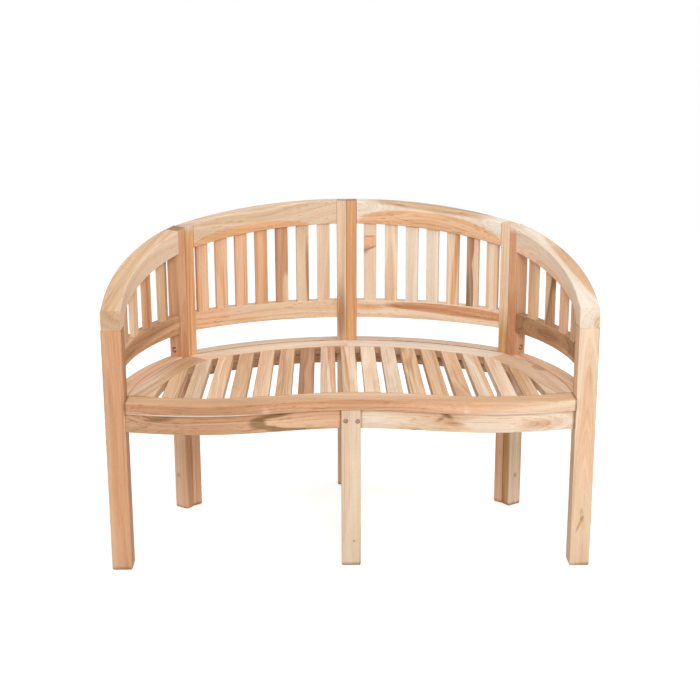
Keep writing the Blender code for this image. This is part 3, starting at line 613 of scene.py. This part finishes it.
# Upright slats of the two middle panels, counted from the middle outwards
slatTimber = {
    "left": (
        ("blond", {}),
        ("tan", {"contrast": 0.8, "marks": (
            patch("wheat", (0, -8), (300, 13), soft=0.5, strength=0.5),
            patch("umber", (-20, 13), (115, 5), turn=-1.5, soft=0.4, strength=0.8),
        )}),
        ("rust", {"contrast": 0.8, "marks": (
            patch("brown", *wholeBoard, strength=0.3),
            patch("honey", (-122, 19), (100, 14), turn=-5, soft=0.08),
        )}),
        ("peach", {"contrast": 1.2}),
        ("peach", {}),
        ("peach", {}),
        ("peach", {"marks": (patch("orange", (-60, -6), (60, 3), soft=0.5),)}),
    ),
    "right": (
        ("blond", {"marks": (
            patch("peach", (58, 0), (17, 26), soft=0.3, ragged=0.3),
            patch("rust", (74, -2), (18, 2.2), turn=88, soft=0.6, ragged=0.3),
            patch("brown", (34, -14), (12, 7), turn=40, soft=0.8, ragged=0.3, strength=0.8),
            patch("brown", (40, 1), (19, 2.6), turn=68, soft=0.6, ragged=0.3),
        )}),
        ("blond", {"contrast": 1.2}),
        ("cream", {}),
        ("cream", {}),
        ("blond", {"marks": (patch("orange", (0, 8), (190, 6.5), turn=3.5, soft=0.3),)}),
        ("blond", {"marks": (
            patch("umber", (-60, -18), (130, 23), soft=0.06, ragged=0.3, strength=0.8),
            patch("brown", (80, -19), (95, 24), soft=0.06, ragged=0.3),
        )}),
        ("blond", {}),
    ),
}
for hand, slats in slatTimber.items():
    for number, (tone, look) in enumerate(slats, start=1):
        dress(boards[f"back_slat_{hand}_{number}"], tone, **look)

# Front edge of the seat and the ring that its slats run into
frontTimber = {
    "seat_nosing": ("rust", {"contrast": 0.9, "slope": 0.004, "marks": (
        patch("brown", (-560, -4), (420, 12), soft=0.8, ragged=0.6, strength=0.4),
        patch("brown", (-300, -6), (150, 5), soft=0.8, strength=0.5),
        patch("peach", (480, 0), (330, 400), soft=0.5, strength=0.5),
        patch("honey", (560, 0), (150, 400), soft=0.6),
        patch("tan", (0, 0), (700, 400), side=up, strength=0.9),
        patch("peach", (-205, -6), (8, 9), soft=0.6, strength=0.5),
        patch("blond", (277, -5), (5, 10), soft=0.6, strength=0.45),
        # painted highlights: two pale cream lines along the lower front edge
        patch("cream", (-380, -15), (165, 5), soft=0.2, ragged=0.2),
        patch("cream", (410, -15), (120, 4.5), soft=0.3, ragged=0.2),
        # painted shade: umber strips at both ends, where the nosing meets the legs
        patch("umber", (549, 0), (4, 400), soft=0.5, ragged=0.0, strength=0.8),
        patch("umber", (-549, 0), (4, 400), soft=0.5, ragged=0.0, strength=0.8),
    )}),
    "front_apron_left": ("rust", {"marks": (
        patch("brown", (-140, 0), (230, 60), soft=0.6, strength=0.65),
        # painted shadow: a dark umber line along the top edge, under the nosing
        patch("umber", (-60, 25), (170, 3), soft=0.5, ragged=0.3, strength=0.9),
        patch("brown", (-228, -9), (46, 5), turn=24, soft=0.5),
        patch("umber", (-180, 14), (32, 6), turn=6, soft=0.5),
        patch("umber", (148, 3), (108, 26), soft=0.15, ragged=0.4),
        patch("tan", (194, 4), (128, 22), soft=0.06, ragged=0.3),
        patch("rust", (194, 4), (128, 22), soft=0.06, ragged=0.3, strength=0.5),
        patch("umber", (57, 1), (20, 15), soft=0.3),
        patch("umber", (90, -14), (30, 6), turn=-14, soft=0.4),
        patch("umber", (98, 17), (46, 5), turn=6, soft=0.4),
        # painted shade: an umber strip at the end by the centre leg
        patch("umber", (262, 0), (4, 400), soft=0.5, ragged=0.0, strength=0.8),
    )}),
    "front_apron_right": ("wheat", {"marks": (
        patch("cream", (-198, 2), (66, 17), soft=0.5, strength=0.4),
        patch("tan", (-95, 0), (62, 26), soft=0.7, strength=0.8),
        patch("blond", (170, 0), (170, 60), soft=0.5),
        patch("rust", (-48, 4), (34, 17), soft=0.8, strength=0.8),
        patch("umber", (-50, 16), (15, 5.5), turn=-25, soft=0.6),
        patch("umber", (-67, 8), (12, 4.5), turn=30, soft=0.6, strength=0.8),
        patch("brown", (-38, 0), (22, 6), turn=-10, soft=0.6, strength=0.8),
        patch("orange", (-28, -13), (32, 5), soft=0.6, strength=0.9),
        patch("brown", (-130, -23), (15, 4), soft=0.6, strength=0.8),
        patch("rust", (178, -4), (42, 11), soft=0.8, strength=0.9),
        # painted shade: umber strips at both ends, where the apron meets the legs
        patch("umber", (262, 0), (5, 400), soft=0.5, ragged=0.0, strength=0.8),
        patch("umber", (-262, 0), (3, 400), soft=0.5, ragged=0.0, strength=0.5),
    )}),
}
for name, (tone, look) in frontTimber.items():
    dress(boards[name], tone, up, **look)
# The inner edge of the ring is painted brown, as painted shade in the gaps between the seat slats
paintedGapShade = patch("brown", *wholeBoard, side=forward, strength=0.9)
ringTimber = {
    "seat_border_rear_left": ("blond", {"marks": (paintedGapShade,)}),
    "seat_border_rear_right": ("cream", {"contrast": 0.6, "marks": (paintedGapShade,)}),
    "seat_border_end_left": ("tan", {"marks": (
        patch("wheat", (-80, -14), (110, 22), soft=0.6, strength=0.8),
        # painted shadow of the post pair, at the rear end of the board
        patch("brown", (110, 0), (100, 60), soft=0.6, strength=0.35),
    )}),
    "seat_border_end_right": ("wheat", {"contrast": 0.8, "marks": (
        patch("tan", *wholeBoard, strength=0.45),
        patch("tan", (60, 14), (70, 9), turn=8, soft=0.6, strength=0.8),
        # painted shadow of the post pair
        patch("brown", (32, 45), (31, 15), turn=-4, soft=0.25, ragged=0.6, strength=0.75),
        patch("rust", (-90, 10), (120, 7), turn=8, soft=0.6, strength=0.5),
    )}),
}
for name, (tone, look) in ringTimber.items():
    dress(boards[name], tone, **look)

# Seat slats from left to right
seatContrast = 1.1
seatTones = (
    "tan", "wheat", "honey", "tan", "honey", "tan", "brown", "wheat",
    "blond", "blond", "wheat", "tan", "tan", "tan", "wheat", "blond", "tan",
)
heartwood = {
    8: patch("rust", (0, 14), (400, 12), turn=-1.2, soft=0.1, ragged=0.5, strength=0.8),
    9: patch("tan", (0, -14), (400, 11), turn=-1.0, soft=0.1, ragged=0.4),
    14: patch("rust", (60, 2), (110, 12), soft=0.5, strength=0.6),
    15: patch("tan", (0, 15), (400, 10), soft=0.2, ragged=0.5),
}
for number, tone in enumerate(seatTones, start=1):
    marks = (heartwood[number],) if number in heartwood else ()
    dress(boards[f"seat_slat_{number}"], tone, sideways, contrast=seatContrast, marks=marks)
# painted shade: the centre bearer is umber for the shade under the seat
dress(boards["centre_bearer"], "umber", up)
print("boards dressed:", len(boards))


# A round or six-sided piece turned from its profile of radius and height in mm
def turned(name, profile, place, outward, sides=roundSides):
    shape = bmesh.new()
    rings = []
    for radius, height in profile:
        around = [2 * math.pi * step / sides for step in range(sides)] if radius else [0.0]
        rings.append([shape.verts.new((
            radius * mm * math.cos(turn), radius * mm * math.sin(turn), height * mm)) for turn in around])
    for low, high in zip(rings, rings[1:]):
        for step in range(sides):
            after = (step + 1) % sides
            corners = (low[step % len(low)], low[after % len(low)],
                       high[after % len(high)], high[step % len(high)])
            shape.faces.new(list(dict.fromkeys(corners)))
    bmesh.ops.recalc_face_normals(shape, faces=shape.faces)
    shape.transform(Matrix.Translation(place) @ pointed(outward).to_matrix().to_4x4())
    return pieceFrom(name, shape)


# Plugs: short teak dowels, darker because their end grain took up dirt and oil
def setPlugs():
    radius, chamfer = plugs["plug"] / 2, plugs["chamfer"]
    foot, face = plugs["gap"] - plugs["depth"], -plugs["sunk"]
    profile = (
        (0.0, foot), (radius, foot), (radius, face - chamfer), (radius - chamfer, face), (0.0, face),
    )
    for hand, place in zip(("left", "right"), plugs["places"]):
        item = turned(f"plug_{hand}", profile, place, forward)
        dress(item, "dusty", up)
        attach(item, "root")


# Zinc-plated steel, pressed and turned: dull silver with a slight yellow cast, in faint clouds
# of a size in mm. Stops and roughness go from the darker spots to the brighter ones
zinc = {
    "cloud": 2.38, "detail": 3.0,
    "stops": ((0.3, "A9A596"), (0.7, "CFCBBC")), "roughness": (0.30, 0.48),
}


def zincPlatedSteel():
    material = bpy.data.materials.new("zincPlatedSteel")
    material.use_nodes = True
    tree = material.node_tree
    spot = addNode(tree, "ShaderNodeTexCoord")["Object"]
    cloud = addNode(tree, "ShaderNodeTexNoise", {
        "Vector": spot, "Scale": 1 / (zinc["cloud"] * mm), "Detail": zinc["detail"]})["Fac"]
    tint = addNode(tree, "ShaderNodeValToRGB", {0: cloud}, zinc["stops"])["Color"]
    low, high = (place for place, hexCode in zinc["stops"])
    rough = addNode(tree, "ShaderNodeMapRange", {
        "Value": cloud, "From Min": low, "From Max": high,
        "To Min": zinc["roughness"][0], "To Max": zinc["roughness"][1],
    })[0]
    fill(tree, tree.nodes["Principled BSDF"], {"Base Color": tint, "Roughness": rough, "Metallic": 1.0})
    return material


# Six millimetre bolts: a hexagon head and washer at one end, washer, nut and thread at the other.
# Radii and heights in mm
fastener = {
    "shank": 3.0, "washer": 6.2, "washerThick": 1.2,
    "hexagon": 5.77, "corners": 6, "nutThick": 5.0, "headThick": 4.0,
    "chamfer": 0.6, "washerEdge": 0.2, "countersinkWide": 0.5, "countersinkDeep": 0.3,
    "threadOut": 3.0, "pitch": 1.0, "threadDeep": 0.35, "tipTaper": 0.7,
    "crestAt": 0.4, "rootAt": 0.9,                    # of a pitch, up one turn of the thread
    "clear": 0.05, "washerGap": 0.2, "nutGap": 0.1,   # between one piece and the next
}


def setBolts():
    steel = zincPlatedSteel()
    shank, washer, hexagon = fastener["shank"], fastener["washer"], fastener["hexagon"]
    chamfer, pitch = fastener["chamfer"], fastener["pitch"]
    seat = fastener["clear"] - bolts["depth"]
    onWasher = seat + fastener["washerThick"]
    bore = shank + fastener["washerGap"]
    washerProfile = (
        (bore, seat), (washer, seat), (washer, onWasher - fastener["washerEdge"]),
        (washer - fastener["washerEdge"], onWasher), (bore, onWasher), (bore, seat),
    )

    def hexagonProfile(thick, bore):
        foot, top = onWasher + fastener["clear"], onWasher + thick
        inside = bore + fastener["countersinkWide"] if bore else 0.0
        closed = ((bore, top - fastener["countersinkDeep"]), (bore, foot)) if bore else ()
        return (
            (bore, foot), (hexagon, foot), (hexagon, top - chamfer), (hexagon - 2 * chamfer, top),
            (inside, top), *closed,
        )

    threadProfile = [(0.0, onWasher), (shank, onWasher)]
    height = onWasher
    tip = onWasher + fastener["nutThick"] + fastener["threadOut"]
    while height + pitch < tip:
        threadProfile += [
            (shank, height + fastener["crestAt"] * pitch),
            (shank - fastener["threadDeep"], height + fastener["rootAt"] * pitch),
        ]
        height += pitch
    threadProfile += [(shank - fastener["tipTaper"], tip), (0.0, tip)]

    nutProfile = hexagonProfile(fastener["nutThick"], shank + fastener["nutGap"])
    headProfile = hexagonProfile(fastener["headThick"], 0.0)
    for number, (nutAt, headAt, outward) in enumerate(boltEnds, start=1):
        for part, profile, sides, place, way in (
            ("nut_washer", washerProfile, roundSides, nutAt, outward),
            ("nut", nutProfile, fastener["corners"], nutAt, outward),
            ("thread", threadProfile, roundSides, nutAt, outward),
            ("head_washer", washerProfile, roundSides, headAt, -outward),
            ("head", headProfile, fastener["corners"], headAt, -outward),
        ):
            item = turned(f"bolt_{number}_{part}", profile, place, way, sides)
            item.data.materials.append(steel)
            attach(item, "root")


setPlugs()
setBolts()
print("plugs and bolts in place")

# Pale floor, which keeps a faint shadow, and white all round for the camera
stageLook = {
    "floorSize": 9.0,                    # metres
    "floor": "F2F1EF", "lift": 0.56,     # its colour, and how much brighter the camera sees it
    "sky": "F6F8FC", "ambient": 0.52,    # light from all round
}
white = colour("FFFFFF")


# 1 for the camera's rays and for those that metal and glass send on
def whiteFor(tree):
    rays = addNode(tree, "ShaderNodeLightPath")
    seen = rays["Is Camera Ray"]
    for ray in ("Is Glossy Ray", "Is Transmission Ray"):
        seen = addNode(tree, "ShaderNodeMath", {0: seen, 1: rays[ray]}, operation="MAXIMUM")[0]
    return seen


def setStage():
    shape = bmesh.new()
    bmesh.ops.create_grid(shape, x_segments=1, y_segments=1, size=stageLook["floorSize"] / 2)
    item = pieceFrom("floor", shape)
    paper = bpy.data.materials.new("mattWhitePaper")    # soft, without gloss
    paper.use_nodes = True
    tree = paper.node_tree
    glow = addNode(tree, "ShaderNodeMath", {
        0: whiteFor(tree), 1: stageLook["lift"]}, operation="MULTIPLY")[0]
    fill(tree, tree.nodes["Principled BSDF"], {
        "Base Color": colour(stageLook["floor"]), "Roughness": 1.0, "Specular IOR Level": 0.0,
        "Emission Color": white, "Emission Strength": glow,
    })
    item.data.materials.append(paper)

    world = bpy.data.worlds.new("whiteStudio")
    world.use_nodes = True
    bpy.context.scene.world = world
    tree = world.node_tree
    sky = tree.nodes["Background"]
    fill(tree, sky, {"Color": colour(stageLook["sky"]), "Strength": stageLook["ambient"]})
    plain = addNode(tree, "ShaderNodeBackground", {"Color": white, "Strength": 1.0})[0]
    both = addNode(tree, "ShaderNodeMixShader", {0: whiteFor(tree), 1: sky.outputs[0], 2: plain})[0]
    fill(tree, tree.nodes["World Output"], {"Surface": both})


# Soft studio boxes, all turned to the bench: place and size in metres, power in watts
softboxes = {
    "keyBox": {"place": (0.3, -3.7, 2.6), "size": 1.3, "power": 82.0},
    "fillBox": {"place": (-2.8, -2.0, 1.6), "size": 1.8, "power": 4.0},
    "topBox": {"place": (0.1, -0.1, 3.2), "size": 2.4, "power": 30.0},
}
benchMiddle = Vector((0.0, 0.0, 0.4))


def setLights():
    for name, box in softboxes.items():
        lamp = bpy.data.lights.new(name, "AREA")
        lamp.shape = "SQUARE"
        lamp.size = box["size"]
        lamp.energy = box["power"]
        item = bpy.data.objects.new(name, lamp)
        item.location = box["place"]
        item.rotation_euler = (benchMiddle - Vector(box["place"])).to_track_quat("-Z", "Y").to_euler()
        bpy.context.scene.collection.objects.link(item)


# The photograph's view: a long lens a little above the arms. Metres and radians
photoView = {
    "focalPixels": 1300.0, "framePixels": 700.0, "sensor": 36.0,
    "place": (-0.0594, -3.32545, 1.3676), "yaw": 0.0188, "pitch": 0.2583, "roll": -0.0023,
}


def setCamera():
    yaw, pitch, roll = (photoView[turn] for turn in ("yaw", "pitch", "roll"))
    ahead = Vector((math.sin(yaw) * math.cos(pitch), math.cos(yaw) * math.cos(pitch), -math.sin(pitch)))
    right = Vector((math.cos(yaw), -math.sin(yaw), 0.0))
    above = right.cross(ahead)
    rolledRight = math.cos(roll) * right + math.sin(roll) * above
    rolledAbove = math.cos(roll) * above - math.sin(roll) * right
    camera = bpy.data.cameras.new("photoCamera")
    camera.sensor_width = photoView["sensor"]
    camera.lens = photoView["focalPixels"] / photoView["framePixels"] * photoView["sensor"]
    item = bpy.data.objects.new("photoCamera", camera)
    item.matrix_world = Matrix.Translation(photoView["place"]) @ Matrix(
        (rolledRight, rolledAbove, -ahead)).transposed().to_4x4()
    bpy.context.scene.collection.objects.link(item)
    bpy.context.scene.camera = item


setStage()
setLights()
setCamera()
bpy.context.scene.view_settings.view_transform = "Standard"
print("stage, lights and camera set")
